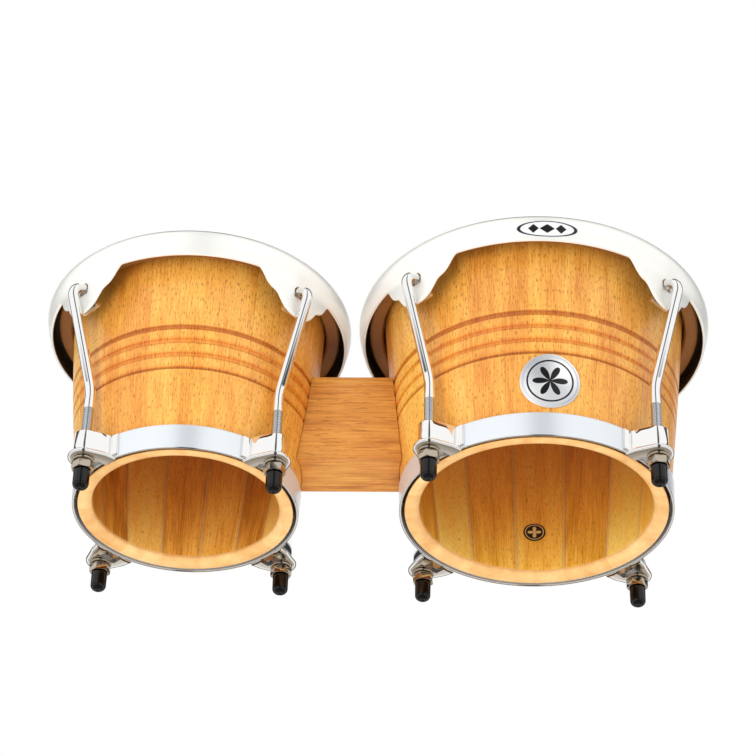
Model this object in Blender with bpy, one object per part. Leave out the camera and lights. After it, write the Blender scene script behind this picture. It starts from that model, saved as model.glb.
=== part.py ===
"""Bongo drums: two tapered stave shells joined by a wooden block, heads up, standing on the rubber
caps of their tuning rods. Metres, +Z up; +X runs from the small drum (macho) to the large one
(hembra), and the player's side, with the badge, faces -Y."""

import math

import bmesh
import bpy
from mathutils import Matrix, Vector

# Heights are measured from the open lower ends of the shells, which hang CAP_TIP above the floor.
CAP_TIP = 0.0236
SHELL_HEIGHT = 0.1585
GAP = 0.0003
SEGMENTS = 40

DRUMS = {
    "macho": {
        "x": -0.1215, "foot": 0.0702, "waist": 0.0803, "top": 0.0858, "wall": 0.0102,
        "lug_radius": 0.0856, "rim_radius": 0.1004, "turn": math.radians(1.3), "block_side": 1,
        "grooves": ((0.0895, 0.0038), (0.0791, 0.0036), (0.0688, 0.0033), (0.0590, 0.0018)),
    },
    "hembra": {
        "x": 0.1065, "foot": 0.0856, "waist": 0.0945, "top": 0.1016, "wall": 0.0105,
        "lug_radius": 0.1013, "rim_radius": 0.1154, "turn": math.radians(2.0), "block_side": -1,
        "grooves": ((0.0910, 0.0040), (0.0806, 0.0030), (0.0703, 0.0028), (0.0611, 0.0018)),
    },
}
LUGS = {"front_left": 225, "front_right": 315, "back_right": 45, "back_left": 135}
GROOVE_DEPTH = 0.0014
END_BEVEL = 0.004

BAND = {"low": -0.0004, "high": 0.0172, "sheet": 0.0015, "foot_gap": 0.0019}
BRACKET = {"low": -0.0024, "high": 0.0176, "sheet": 0.0022, "nose": 0.0069, "lip": 0.0024,
           "lip_high": 0.0016, "reach": 0.0130, "floor_back": 0.0062}
ROD = {"radius": 0.0035, "low": -0.0192, "bend": 0.0520, "hook": 0.1165, "lean": 0.0222,
       "hook_radius": 0.0075, "tail": 0.1150, "pin_radius": 0.0024, "pin_length": 0.0150}
HOLE_RADIUS = 0.0039
WASHER = {"outer": 0.0073, "low": -0.0042, "high": -0.0027}
NUT = {"across_flats": 0.0123, "low": -0.0102, "high": -0.0045}
CAP = {"radius": 0.0053, "high": -0.0106, "bore": 0.0038, "floor": -0.0197, "flat": 0.0016}
RIM = {"skirt": 0.1342, "sheet": 0.0020, "crown": 0.1572, "seat": 0.1511, "belly": 0.0032}
HOOP = {"inner": 0.0026, "outer": 0.0088, "low": 0.1437, "high": 0.1507}
SKIN = {"thickness": 0.0012, "collar_low": 0.1427}
BLOCK = {"low": 0.0295, "high": 0.0950, "half_depth": 0.0195}
SCREW = {"heights": {"lower": 0.044, "upper": 0.081}, "shaft": 0.0025, "head": 0.0056,
         "head_height": 0.0030, "sink": 0.0040, "into_block": 0.018}
BADGE = {"radius": 0.0193, "height": 0.0402, "azimuth": -85.7, "thickness": 0.0008}
LABEL = {"radius": 0.0075, "height": 0.0370, "azimuth": 89.1, "thickness": 0.0005}

# Half outline of the rim's lower edge at each lug: distance along the rim, and height.
TONGUE = ((0.0, 0.1065), (0.0110, 0.1098), (0.0156, 0.1166), (0.0176, 0.1200), (0.0242, 0.1230),
          (0.0304, 0.1342))
SLOT = {"low": 0.1216, "high": 0.1314, "half_width": 0.0042, "half_top": 0.0020}

COLOURS = {
    "lacquered_wood": ((0.83, 0.48, 0.16), 0.35, 0.0),
    "block_wood": ((0.72, 0.38, 0.15), 0.40, 0.0),
    "chrome": ((0.80, 0.80, 0.82), 0.12, 1.0),
    "nickel": ((0.62, 0.58, 0.52), 0.30, 1.0),
    "rubber": ((0.02, 0.02, 0.02), 0.40, 0.0),
    "rawhide": ((0.80, 0.70, 0.52), 0.60, 0.0),
    "badge_metal": ((0.75, 0.75, 0.76), 0.30, 1.0),
    "label": ((0.03, 0.03, 0.03), 0.45, 0.0),
}


def material(name):
    """The Principled material of that name, made once."""
    if name in bpy.data.materials:
        return bpy.data.materials[name]
    colour, roughness, metallic = COLOURS[name]
    made = bpy.data.materials.new(name)
    made.use_nodes = True
    shader = made.node_tree.nodes["Principled BSDF"]
    shader.inputs["Base Color"].default_value = (*colour, 1.0)
    shader.inputs["Roughness"].default_value = roughness
    shader.inputs["Metallic"].default_value = metallic
    return made


def add(name, bm, stuff):
    """An object made from a bmesh that is closed, with its faces turned out."""
    bmesh.ops.remove_doubles(bm, verts=bm.verts, dist=0.000001)
    bmesh.ops.recalc_face_normals(bm, faces=bm.faces)
    mesh = bpy.data.meshes.new(name)
    bm.to_mesh(mesh)
    bm.free()
    mesh.shade_smooth()
    mesh.set_sharp_from_angle(angle=math.radians(35))
    made = bpy.data.objects.new(name, mesh)
    made.data.materials.append(material(stuff))
    bpy.context.scene.collection.objects.link(made)
    return made


def turned(name, profile, stuff, segments=SEGMENTS):
    """A body turned about Z. A profile that ends on the axis stays open, any other is closed."""
    bm = bmesh.new()
    points = [bm.verts.new((radius, 0.0, height)) for radius, height in profile]
    edges = [bm.edges.new(pair) for pair in zip(points, points[1:])]
    if profile[0][0] > 0.0:
        edges.append(bm.edges.new((points[-1], points[0])))
    bmesh.ops.spin(bm, geom=points + edges, axis=(0, 0, 1), cent=(0, 0, 0), angle=math.tau,
                   steps=segments, use_merge=True)
    return add(name, bm, stuff)


def extruded(name, outline, low, high, stuff):
    """A flat outline in X and Y carried up from low to high."""
    bm = bmesh.new()
    face = bm.faces.new([bm.verts.new((x, y, low)) for x, y in outline])
    grown = bmesh.ops.extrude_face_region(bm, geom=[face])["geom"]
    bmesh.ops.translate(bm, vec=(0, 0, high - low),
                        verts=[item for item in grown if isinstance(item, bmesh.types.BMVert)])
    return add(name, bm, stuff)


def boolean(body, other, operation):
    """Joins or cuts body with other, which is left as a hidden guide."""
    other.hide_render = True
    other.display_type = "WIRE"
    change = body.modifiers.new(operation.lower(), "BOOLEAN")
    change.operation = operation
    change.object = other


def drill(body, name, radius, start, end, sides=12):
    """A round hole through body between two points."""
    start, end = Vector(start), Vector(end)
    bm = bmesh.new()
    along = (end - start).to_track_quat("Z", "Y").to_matrix().to_4x4()
    bmesh.ops.create_cone(bm, cap_ends=True, segments=sides, radius1=radius, radius2=radius,
                          depth=(end - start).length,
                          matrix=Matrix.Translation((start + end) / 2) @ along)
    hole = add(name, bm, "chrome")
    hole.parent = body.parent
    boolean(body, hole, "DIFFERENCE")


def arc(centre, radius, first, last, steps):
    """Points on an arc, from one angle to another, in degrees."""
    angles = [math.radians(first + (last - first) * step / steps) for step in range(steps + 1)]
    return [(centre[0] + radius * math.cos(a), centre[1] + radius * math.sin(a)) for a in angles]


def shell_radius(drum, height):
    """Outside radius of the shell: a parabola through its foot, waist and top."""
    part = height / SHELL_HEIGHT
    slope = 4 * drum["waist"] - 3 * drum["foot"] - drum["top"]
    bulge = 2 * (drum["foot"] + drum["top"] - 2 * drum["waist"])
    return drum["foot"] + slope * part + bulge * part * part


def station(name, drum, angle=0.0):
    """An empty on a drum's axis at the shell's foot, turned to an angle in degrees."""
    empty = bpy.data.objects.new(name, None)
    empty.location = (drum["x"], 0.0, CAP_TIP)
    empty.rotation_euler = (0.0, 0.0, math.radians(angle))
    bpy.context.scene.collection.objects.link(empty)
    return empty


def face_block(piece, drum, height, place):
    """Lays a turned piece on its side at the floor of a screw's counterbore, tip to the block."""
    side = drum["block_side"]
    bore = shell_radius(drum, height) - drum["wall"]
    piece.parent = place
    piece.location = (side * (bore + SCREW["sink"]), 0.0, height)
    piece.rotation_euler = (0.0, side * math.pi / 2, 0.0)


def shell(name, drum, place):
    """Tapered shell with turned grooves, a rounded bearing edge and a bevelled foot."""
    outside = [(drum["foot"], 0.0)] + [(shell_radius(drum, z), z) for z in (0.018, 0.042)]
    for height, width in reversed(drum["grooves"]):
        for side, depth in ((-1, 0.0), (0, GROOVE_DEPTH), (1, 0.0)):
            z = height + side * width / 2
            outside.append((shell_radius(drum, z) - depth, z))
    outside += [(shell_radius(drum, z), z) for z in (0.115, SHELL_HEIGHT - 0.003)]
    edge = [(drum["top"] - 0.0012, SHELL_HEIGHT - 0.0008), (drum["top"] - 0.0036, SHELL_HEIGHT)]
    inside = [(shell_radius(drum, z) - drum["wall"], z)
              for z in (SHELL_HEIGHT - 0.005, 0.080, END_BEVEL)]
    foot = [(drum["foot"] - drum["wall"] + END_BEVEL, 0.0)]
    body = turned(f"{name}_shell", outside + edge + inside + foot, "lacquered_wood")
    body.parent = place
    head, shaft = SCREW["head"] + GAP, SCREW["shaft"] + GAP
    for level, height in SCREW["heights"].items():
        step = ((0.0, -0.010), (head, -0.010), (head, GAP), (shaft, GAP), (shaft, 0.020), (0.0, 0.020))
        hole = turned(f"{name}_screw_hole_{level}", step, "lacquered_wood", segments=12)
        face_block(hole, drum, height, place)
        boolean(body, hole, "DIFFERENCE")


def band(name, drum, place):
    """Steel hoop round the shell's foot, standing off the wood at its lower edge."""
    low = drum["foot"] + BAND["foot_gap"]
    high = shell_radius(drum, BAND["high"]) + GAP
    sheet = BAND["sheet"]
    profile = ((low, BAND["low"]), (low + sheet, BAND["low"]),
               (high + sheet, BAND["high"]), (high, BAND["high"]))
    turned(f"{name}_bottom_hoop", profile, "chrome").parent = place


def band_face(drum, height):
    """Outside radius of the bottom hoop."""
    low = drum["foot"] + BAND["foot_gap"] + BAND["sheet"]
    high = shell_radius(drum, BAND["high"]) + GAP + BAND["sheet"]
    return low + (high - low) * (height - BAND["low"]) / (BAND["high"] - BAND["low"])


def wrap_outline(axis, back, radius):
    """A rounded nose about the rod's axis, with legs that spread to the hoop behind it."""
    spread = BRACKET["reach"] - BRACKET["nose"] + radius
    run = math.hypot(axis - back, spread)
    tilt = math.degrees(math.atan2(spread, axis - back) - math.asin(radius / run))
    nose = arc((axis, 0.0), radius, -90 + tilt, 90 - tilt, 8)
    return [(back, -spread)] + nose + [(back, spread)]


def bracket(name, drum, place):
    """Pressed lug: a bent wall round the rod, an outward lip, and a floor that the nut pulls on."""
    axis = drum["lug_radius"]
    back = band_face(drum, BRACKET["high"]) + 0.0022
    outer = wrap_outline(axis, back, BRACKET["nose"])
    inner = wrap_outline(axis, back, BRACKET["nose"] - BRACKET["sheet"])
    lip = wrap_outline(axis, back, BRACKET["nose"] + BRACKET["lip"])
    wall = extruded(name, outer + inner[::-1], BRACKET["low"], BRACKET["high"], "chrome")
    floor = extruded(f"{name}_floor", lip, BRACKET["low"], BRACKET["lip_high"], "chrome")
    wall.parent = floor.parent = place
    boolean(wall, floor, "UNION")
    reach = BRACKET["floor_back"]
    mouth = [(back - 0.01, -0.006), (axis - reach, -0.006), (axis - reach, 0.006), (back - 0.01, 0.006)]
    notch = extruded(f"{name}_notch", mouth, BRACKET["low"] - 0.01, BRACKET["lip_high"] + 0.01, "chrome")
    notch.parent = place
    boolean(wall, notch, "DIFFERENCE")
    drill(wall, f"{name}_rod_hole", HOLE_RADIUS, (axis, 0, -0.01), (axis, 0, 0.01))


def rod_path(drum):
    """The rod's centre line: straight through the lug, out to the rim, then hooked inward."""
    axis, radius = drum["lug_radius"], ROD["hook_radius"]
    lean = math.atan2(ROD["lean"], ROD["hook"] - ROD["bend"])
    top = Vector((axis + ROD["lean"], ROD["hook"]))
    centre = top + radius * Vector((-math.cos(lean), math.sin(lean)))
    ease = 0.006
    path = [(axis, ROD["low"]), (axis, ROD["bend"] - ease)]
    path += [(axis + 0.25 * ease * math.sin(lean), ROD["bend"])]
    path += [(axis + ease * math.sin(lean), ROD["bend"] + ease * math.cos(lean))]
    path += arc(centre, radius, -math.degrees(lean), 180, 6)
    return path + [(centre.x - radius, ROD["tail"])]


def rod(name, drum, place, sides=8):
    """Tuning rod swept along its path, with a cross pin on its hooked end."""
    path = [Vector((x, 0.0, z)) for x, z in rod_path(drum)]
    bm = bmesh.new()
    rings = []
    for index, point in enumerate(path):
        before, after = path[max(index - 1, 0)], path[min(index + 1, len(path) - 1)]
        ahead = (after - before).normalized()
        across = Vector((0, 1, 0)).cross(ahead)
        turns = [math.tau * side / sides for side in range(sides)]
        rings.append([bm.verts.new(point + ROD["radius"] * (math.cos(t) * across
                                                            + math.sin(t) * Vector((0, 1, 0))))
                      for t in turns])
    for lower, upper in zip(rings, rings[1:]):
        for side in range(sides):
            after = (side + 1) % sides
            bm.faces.new((lower[side], lower[after], upper[after], upper[side]))
    bm.faces.new(rings[0])
    bm.faces.new(rings[-1])
    body = add(name, bm, "chrome")
    pin_mesh = bmesh.new()
    bmesh.ops.create_cone(pin_mesh, cap_ends=True, segments=10, radius1=ROD["pin_radius"],
                          radius2=ROD["pin_radius"], depth=ROD["pin_length"],
                          matrix=Matrix.Translation(path[-1]) @ Matrix.Rotation(math.pi / 2, 4, "X"))
    pin = add(f"{name}_pin", pin_mesh, "chrome")
    body.parent = pin.parent = place
    boolean(body, pin, "UNION")


def washer(name, drum, place):
    """Flat washer between the lug's floor and the nut."""
    made = turned(name, ((HOLE_RADIUS, WASHER["low"]), (WASHER["outer"], WASHER["low"]),
                         (WASHER["outer"], WASHER["high"]), (HOLE_RADIUS, WASHER["high"])),
                  "nickel", segments=12)
    made.parent = place
    made.location.x = drum["lug_radius"]


def nut(name, drum, place):
    """Hexagon nut with its origin on the rod's axis."""
    corner = NUT["across_flats"] / 2 / math.cos(math.pi / 6)
    hexagon = [(corner * math.cos(math.tau * side / 6), corner * math.sin(math.tau * side / 6))
               for side in range(6)]
    made = extruded(name, hexagon, NUT["low"], NUT["high"], "nickel")
    made.parent = place
    made.location.x = drum["lug_radius"]
    x = drum["lug_radius"]
    drill(made, f"{name}_bore", HOLE_RADIUS, (x, 0, NUT["low"] - 0.005), (x, 0, NUT["high"] + 0.005))


def cap(name, drum, place):
    """Rubber cap pushed on the rod's end; the drums stand on its small flat tip."""
    radius, tip = CAP["radius"], -CAP_TIP
    dome = arc((CAP["flat"], tip + radius - CAP["flat"]), radius - CAP["flat"], -90, 0, 3)
    profile = [(0.0, CAP["floor"]), (CAP["bore"], CAP["floor"]), (CAP["bore"], CAP["high"]),
               (radius, CAP["high"])] + dome[::-1] + [(0.0, tip)]
    made = turned(name, profile, "rubber", segments=12)
    made.parent = place
    made.location.x = drum["lug_radius"]


def rim_columns(drum):
    """Angles round the rim with the height of its lower edge there."""
    columns = []
    for lug in LUGS.values():
        for side, points in ((-1, TONGUE[::-1]), (1, TONGUE[1:])):
            columns += [(math.radians(lug) + side * along / drum["rim_radius"], height)
                        for along, height in points]
        flat = math.pi / 2 - 2 * TONGUE[-1][0] / drum["rim_radius"]
        start = math.radians(lug) + TONGUE[-1][0] / drum["rim_radius"]
        columns += [(start + flat * step / 4, RIM["skirt"]) for step in range(1, 4)]
    return sorted((angle % math.tau, height) for angle, height in columns)


def rim_profile(drum, edge):
    """Section of the rim where its lower edge is at a given height."""
    skirt, crown, sheet = drum["rim_radius"], RIM["crown"], RIM["sheet"]
    lip, belly = drum["top"] + 0.0034, RIM["belly"]
    outer = [(skirt, edge), (skirt, RIM["skirt"] + 0.0004), (skirt + belly * 0.7, 0.1400),
             (skirt + belly, 0.1475), (skirt + belly * 0.4, 0.1528), (skirt - 0.0045, crown)]
    leg = [(lip + 0.0012, crown), (lip, crown - 0.0014), (lip, RIM["seat"]),
           (lip + sheet, RIM["seat"]), (lip + sheet, crown - sheet)]
    inner = [(skirt - 0.0045, crown - sheet), (skirt + belly - sheet, 0.1475),
             (skirt + belly * 0.7 - sheet, 0.1400), (skirt - sheet, RIM["skirt"] + 0.0004),
             (skirt - sheet, edge)]
    return outer + leg + inner


def rim(name, drum, place):
    """Flared sheet-metal rim: a rounded crown, an inner leg on the flesh hoop, slotted tongues."""
    bm = bmesh.new()
    rings = []
    for angle, edge in rim_columns(drum):
        rings.append([bm.verts.new((radius * math.cos(angle), radius * math.sin(angle), height))
                      for radius, height in rim_profile(drum, edge)])
    for ring, following in zip(rings, rings[1:] + rings[:1]):
        for row in range(len(ring)):
            below = (row + 1) % len(ring)
            bm.faces.new((ring[row], ring[below], following[below], following[row]))
    body = add(f"{name}_rim", bm, "chrome")
    body.parent = place
    for lug, angle in LUGS.items():
        wide, narrow, low, high = SLOT["half_width"], SLOT["half_top"], SLOT["low"], SLOT["high"]
        outline = [(low, -wide), (high - 0.003, -wide), (high, -narrow), (high, narrow),
                   (high - 0.003, wide), (low, wide)]
        slot = extruded(f"{name}_slot_{lug}", outline, -drum["rim_radius"] - 0.006,
                        -drum["rim_radius"] + 0.006, "chrome")
        slot.parent = place
        slot.rotation_euler = (Matrix.Rotation(math.radians(angle), 3, "Z")
                               @ Matrix.Rotation(-math.pi / 2, 3, "Y")).to_euler()
        boolean(body, slot, "DIFFERENCE")


def flesh_hoop(name, drum, place):
    """Ring that the hide is lapped round, under the rim's inner leg."""
    inner, outer = drum["top"] + HOOP["inner"], drum["top"] + HOOP["outer"]
    profile = ((inner, HOOP["low"]), (outer, HOOP["low"]), (outer, HOOP["high"]), (inner, HOOP["high"]))
    turned(f"{name}_flesh_hoop", profile, "rawhide").parent = place


def skin(name, drum, place):
    """Rawhide head: a flat playing face, and a collar down the outside of the shell."""
    low, top, thick = SHELL_HEIGHT + GAP, drum["top"], SKIN["thickness"]
    inside, outside = top + GAP * 1.5, top + GAP * 1.5 + thick
    profile = ((0.0, low), (top - 0.0006, low), (inside, low - 0.0026), (inside, SKIN["collar_low"]),
               (outside, SKIN["collar_low"]), (outside, low - 0.0018), (top - 0.0006, low + thick),
               (0.0, low + thick))
    turned(f"{name}_head", profile, "rawhide").parent = place


def disc_on_wall(name, stuff, piece, drum, offset, outward):
    """A thin round plate bent to a shell's wall, on its outside or its inside."""
    bm = bmesh.new()
    layers = []
    for depth in (0.0, piece["thickness"]):
        middle = piece["height"]
        rings = []
        for share in (0.5, 1.0):
            ring = []
            for step in range(20):
                turn = math.tau * step / 20
                along = share * piece["radius"] * math.cos(turn)
                z = middle + share * piece["radius"] * math.sin(turn)
                radius = shell_radius(drum, z) - offset + outward * (GAP * 2 + depth)
                angle = math.radians(piece["azimuth"]) + along / radius
                ring.append(bm.verts.new((radius * math.cos(angle), radius * math.sin(angle), z)))
            rings.append(ring)
        radius = shell_radius(drum, middle) - offset + outward * (GAP * 2 + depth)
        angle = math.radians(piece["azimuth"])
        hub = bm.verts.new((radius * math.cos(angle), radius * math.sin(angle), middle))
        for step in range(20):
            after = (step + 1) % 20
            bm.faces.new((hub, rings[0][step], rings[0][after]))
            bm.faces.new((rings[0][step], rings[1][step], rings[1][after], rings[0][after]))
        layers.append(rings[1])
    for step in range(20):
        after = (step + 1) % 20
        bm.faces.new((layers[0][step], layers[0][after], layers[1][after], layers[1][step]))
    return add(name, bm, stuff)


def block():
    """Joining block whose ends are hollowed to sit against both shells."""
    macho, hembra = DRUMS["macho"], DRUMS["hembra"]
    half = BLOCK["half_depth"]
    outline = ((macho["x"] + 0.05, -half), (hembra["x"] - 0.06, -half),
               (hembra["x"] - 0.06, half), (macho["x"] + 0.05, half))
    body = extruded("centre_block", outline, CAP_TIP + BLOCK["low"], CAP_TIP + BLOCK["high"],
                    "block_wood")
    for name, drum in DRUMS.items():
        heights = [-0.01 + 0.02 * step for step in range(7)]
        profile = [(0.0, heights[0])] + [(shell_radius(drum, z) + GAP, z) for z in heights]
        hollow = turned(f"{name}_hollow", profile + [(0.0, heights[-1])], "block_wood")
        hollow.location = (drum["x"], 0.0, CAP_TIP)
        boolean(body, hollow, "DIFFERENCE")
        side = drum["block_side"]
        for level, height in SCREW["heights"].items():
            start = drum["x"] + side * (shell_radius(drum, height) - 0.004)
            end = drum["x"] + side * (shell_radius(drum, height) + SCREW["into_block"] + GAP * 2)
            z = CAP_TIP + height
            drill(body, f"{name}_pilot_{level}", SCREW["shaft"] + GAP, (start, 0, z), (end, 0, z))


def block_screw(name, drum, height, place):
    """Wood screw from inside a shell, through its wall into the block."""
    length = drum["wall"] - SCREW["sink"] + SCREW["into_block"]
    head, shaft, tall = SCREW["head"], SCREW["shaft"], SCREW["head_height"]
    profile = ((0.0, -tall), (head * 0.7, -tall), (head, -tall * 0.5), (head, 0.0), (shaft, 0.0),
               (shaft, length - 0.004), (0.0, length))
    face_block(turned(name, profile, "nickel", segments=12), drum, height, place)


for old in list(bpy.data.objects):
    bpy.data.objects.remove(old, do_unlink=True)

for drum_name, size in DRUMS.items():
    axis = station(f"{drum_name}_axis", size)
    shell(drum_name, size, axis)
    band(drum_name, size, axis)
    skin(drum_name, size, axis)
    for screw_level, screw_height in SCREW["heights"].items():
        block_screw(f"{drum_name}_block_screw_{screw_level}", size, screw_height, axis)
    rim_axis = station(f"{drum_name}_rim_axis", size, math.degrees(size["turn"]))
    rim(drum_name, size, rim_axis)
    flesh_hoop(drum_name, size, rim_axis)
    for lug_name, lug_angle in LUGS.items():
        lug_axis = station(f"{drum_name}_{lug_name}", size, lug_angle + math.degrees(size["turn"]))
        bracket(f"{drum_name}_lug_bracket_{lug_name}", size, lug_axis)
        rod(f"{drum_name}_tuning_rod_{lug_name}", size, lug_axis)
        washer(f"{drum_name}_washer_{lug_name}", size, lug_axis)
        nut(f"{drum_name}_nut_{lug_name}", size, lug_axis)
        cap(f"{drum_name}_rubber_cap_{lug_name}", size, lug_axis)

block()
hembra_axis = bpy.data.objects["hembra_axis"]
badge = disc_on_wall("badge", "badge_metal", BADGE, DRUMS["hembra"], 0.0, 1)
badge.parent = hembra_axis
label = disc_on_wall("inner_label", "label", LABEL, DRUMS["hembra"], DRUMS["hembra"]["wall"], -1)
label.parent = hembra_axis
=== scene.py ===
import math

import bmesh
import bpy
from mathutils import Matrix, Vector


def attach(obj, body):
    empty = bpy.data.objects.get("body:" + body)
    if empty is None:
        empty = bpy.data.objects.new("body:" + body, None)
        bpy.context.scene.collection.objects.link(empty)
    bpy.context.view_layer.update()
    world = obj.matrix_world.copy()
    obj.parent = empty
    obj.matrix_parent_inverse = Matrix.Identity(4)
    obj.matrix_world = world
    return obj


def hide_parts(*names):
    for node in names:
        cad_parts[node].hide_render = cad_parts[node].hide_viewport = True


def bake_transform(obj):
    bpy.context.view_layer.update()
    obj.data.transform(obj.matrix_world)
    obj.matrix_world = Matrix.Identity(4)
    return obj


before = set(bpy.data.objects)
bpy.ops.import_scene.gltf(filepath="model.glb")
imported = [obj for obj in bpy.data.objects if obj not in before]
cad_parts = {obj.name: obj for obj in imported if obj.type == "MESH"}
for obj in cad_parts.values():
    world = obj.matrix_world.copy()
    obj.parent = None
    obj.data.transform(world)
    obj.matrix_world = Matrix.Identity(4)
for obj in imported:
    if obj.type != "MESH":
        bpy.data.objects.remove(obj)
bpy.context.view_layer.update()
print("frame loaded:", len(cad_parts), "nodes")

# Heights are in metres above the open ends of the shells, which hang capTip above the floor.
capTip = 0.0236
shellHeight = 0.1585
threadPitch = 0.00127  # 20 turns per inch
sameSpot = 0.000002    # points closer than this are one
drums = {
    "macho": {"x": -0.1215, "foot": 0.0702, "waist": 0.0803, "top": 0.0858, "wall": 0.0102,
              "lugRadius": 0.0856, "rimRadius": 0.1004, "turn": 1.3, "staves": 15, "jointAt": 86.2,
              "bore": ("#FFD270", "#F6AE4A", "#BC7422"),  # the wood inside, pale to deep
              "grooves": ((0.0895, 0.0038), (0.0791, 0.0036), (0.0688, 0.0033), (0.0590, 0.0018))},
    "hembra": {"x": 0.1065, "foot": 0.0856, "waist": 0.0945, "top": 0.1016, "wall": 0.0105,
               "lugRadius": 0.1013, "rimRadius": 0.1154, "turn": 2.0, "staves": 15, "jointAt": 98.5,
               "bore": ("#FFDF78", "#FFC250", "#D29028"),
               "grooves": ((0.0910, 0.0040), (0.0806, 0.0030), (0.0703, 0.0028), (0.0611, 0.0018))},
}
lugs = {"front_left": 225, "front_right": 315, "back_right": 45, "back_left": 135}


# Shared ways of working.

def colour(hexValue):  # an sRGB hex value as the linear colour a shader takes
    parts = [int(hexValue[at:at + 2], 16) / 255 for at in (1, 3, 5)]
    return [p / 12.92 if p <= 0.04045 else ((p + 0.055) / 1.055) ** 2.4 for p in parts] + [1.0]


def addNode(tree, kind, values):  # values by property or socket; sockets as values are linked
    node = tree.nodes.new(kind)
    for key, value in values.items():
        if isinstance(value, str) and value.startswith("#"):
            value = colour(value)
        if key == "stops":
            ramp = node.color_ramp
            while len(ramp.elements) < len(value):
                ramp.elements.new(0.5)
            for element, (place, shade) in zip(ramp.elements, value):
                element.position = place
                element.color = colour(shade)
        elif isinstance(value, bpy.types.NodeSocket):
            tree.links.new(value, node.inputs[key])
        elif isinstance(key, str) and hasattr(node, key):
            setattr(node, key, value)
        else:
            node.inputs[key].default_value = value
    return node


# Each of these adds one node to a tree and gives back its output.

def maths(tree, operation, *values):
    return addNode(tree, "ShaderNodeMath", {"operation": operation, **dict(enumerate(values))}).outputs[0]


def noise(tree, vector, scale, detail, **more):
    return addNode(tree, "ShaderNodeTexNoise",
                   {"Vector": vector, "Scale": scale, "Detail": detail, **more}).outputs["Fac"]


def mapped(tree, vector, scale, shift=(0, 0, 0)):
    return addNode(tree, "ShaderNodeMapping",
                   {"Vector": vector, "Scale": scale, "Location": shift}).outputs[0]


def ranged(tree, value, low, high, first=0.0, last=1.0):
    return addNode(tree, "ShaderNodeMapRange", {"Value": value, "From Min": low, "From Max": high,
                                                "To Min": first, "To Max": last}).outputs[0]


def ramped(tree, share, *stops):
    return addNode(tree, "ShaderNodeValToRGB", {"Fac": share, "stops": stops}).outputs["Color"]


def blended(tree, share, under, over, how="MIX"):
    return addNode(tree, "ShaderNodeMix", {"data_type": "RGBA", "blend_type": how,
                                           0: share, 6: under, 7: over}).outputs[2]


def axesOf(tree, vector):
    return addNode(tree, "ShaderNodeSeparateXYZ", {"Vector": vector}).outputs


def objectPlace(tree):
    return addNode(tree, "ShaderNodeTexCoord", {}).outputs["Object"]


def addRelief(tree, surface, height, strength, distance, invert=False):
    relief = addNode(tree, "ShaderNodeBump", {"Strength": strength, "Distance": distance,
                                              "invert": invert, "Height": height})
    tree.links.new(relief.outputs[0], surface.inputs["Normal"])


def setColour(tree, surface, shade):
    tree.links.new(shade, surface.inputs["Base Color"])


def newMaterial(name, settings):  # a Principled surface with its constant values
    material = bpy.data.materials.new(name)
    material.use_nodes = True
    surface = material.node_tree.nodes["Principled BSDF"]
    for key, value in settings.items():
        surface.inputs[key].default_value = value
    return material, material.node_tree, surface


def deselectAll():
    bpy.ops.object.select_all(action="DESELECT")


def makeActive(piece):
    deselectAll()
    piece.select_set(True)
    bpy.context.view_layer.objects.active = piece


def selectAll():
    bpy.ops.mesh.select_all(action="SELECT")


def drawProfile(name, points):  # one vertex, extruded along the points in the XZ plane
    deselectAll()
    bpy.ops.mesh.primitive_circle_add(vertices=3, radius=0.001)
    piece = bpy.context.active_object
    piece.name = name
    bpy.ops.object.mode_set(mode="EDIT")
    selectAll()
    bpy.ops.mesh.merge(type="CENTER")
    bpy.ops.transform.translate(value=(points[0][0], 0, points[0][1]))
    for before, after in zip(points, points[1:]):
        step = (after[0] - before[0], 0, after[1] - before[1])
        bpy.ops.mesh.extrude_vertices_move(TRANSFORM_OT_translate={"value": step})
    return piece


def makeWhole():  # ends an edit: doubled points merged, faces outward
    selectAll()
    bpy.ops.mesh.remove_doubles(threshold=sameSpot)
    bpy.ops.mesh.normals_make_consistent(inside=False)
    bpy.ops.object.mode_set(mode="OBJECT")


def turnedPiece(name, points, steps, smooth=40):  # a profile spun about Z and made whole
    piece = drawProfile(name, points)
    selectAll()
    bpy.ops.mesh.remove_doubles(threshold=sameSpot)
    selectAll()
    bpy.ops.mesh.spin(steps=steps, angle=math.tau, center=(0, 0, 0), axis=(0, 0, 1))
    makeWhole()
    shade(piece, smooth)
    return piece


def makeBox(name, place, sizes):  # a box of the given sizes about a place
    deselectAll()
    bpy.ops.mesh.primitive_cube_add(size=1)
    box = bpy.context.active_object
    box.name = name
    box.data.transform(place @ Matrix.Diagonal((*sizes, 1)))
    return box


def pieceFrom(bm, name):  # a new piece from a finished bmesh
    bmesh.ops.recalc_face_normals(bm, faces=bm.faces)
    mesh = bpy.data.meshes.new(name)
    bm.to_mesh(mesh)
    bm.free()
    piece = bpy.data.objects.new(name, mesh)
    bpy.context.scene.collection.objects.link(piece)
    return piece


def shade(piece, angle):
    makeActive(piece)
    bpy.ops.object.shade_smooth_by_angle(angle=math.radians(angle))


def applyModifier(piece, kind, settings):
    makeActive(piece)
    modifier = piece.modifiers.new(kind.lower(), kind)
    for key, value in settings.items():
        setattr(modifier, key, value)
    bpy.ops.object.modifier_apply(modifier=modifier.name)


def cutWith(piece, cutter, operation="DIFFERENCE"):
    applyModifier(piece, "BOOLEAN", {"operation": operation, "solver": "EXACT", "object": cutter})
    bpy.data.objects.remove(cutter, do_unlink=True)


def joined(pieces):
    makeActive(pieces[0])
    for piece in pieces:
        piece.select_set(True)
    bpy.ops.object.join()
    return pieces[0]


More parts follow.
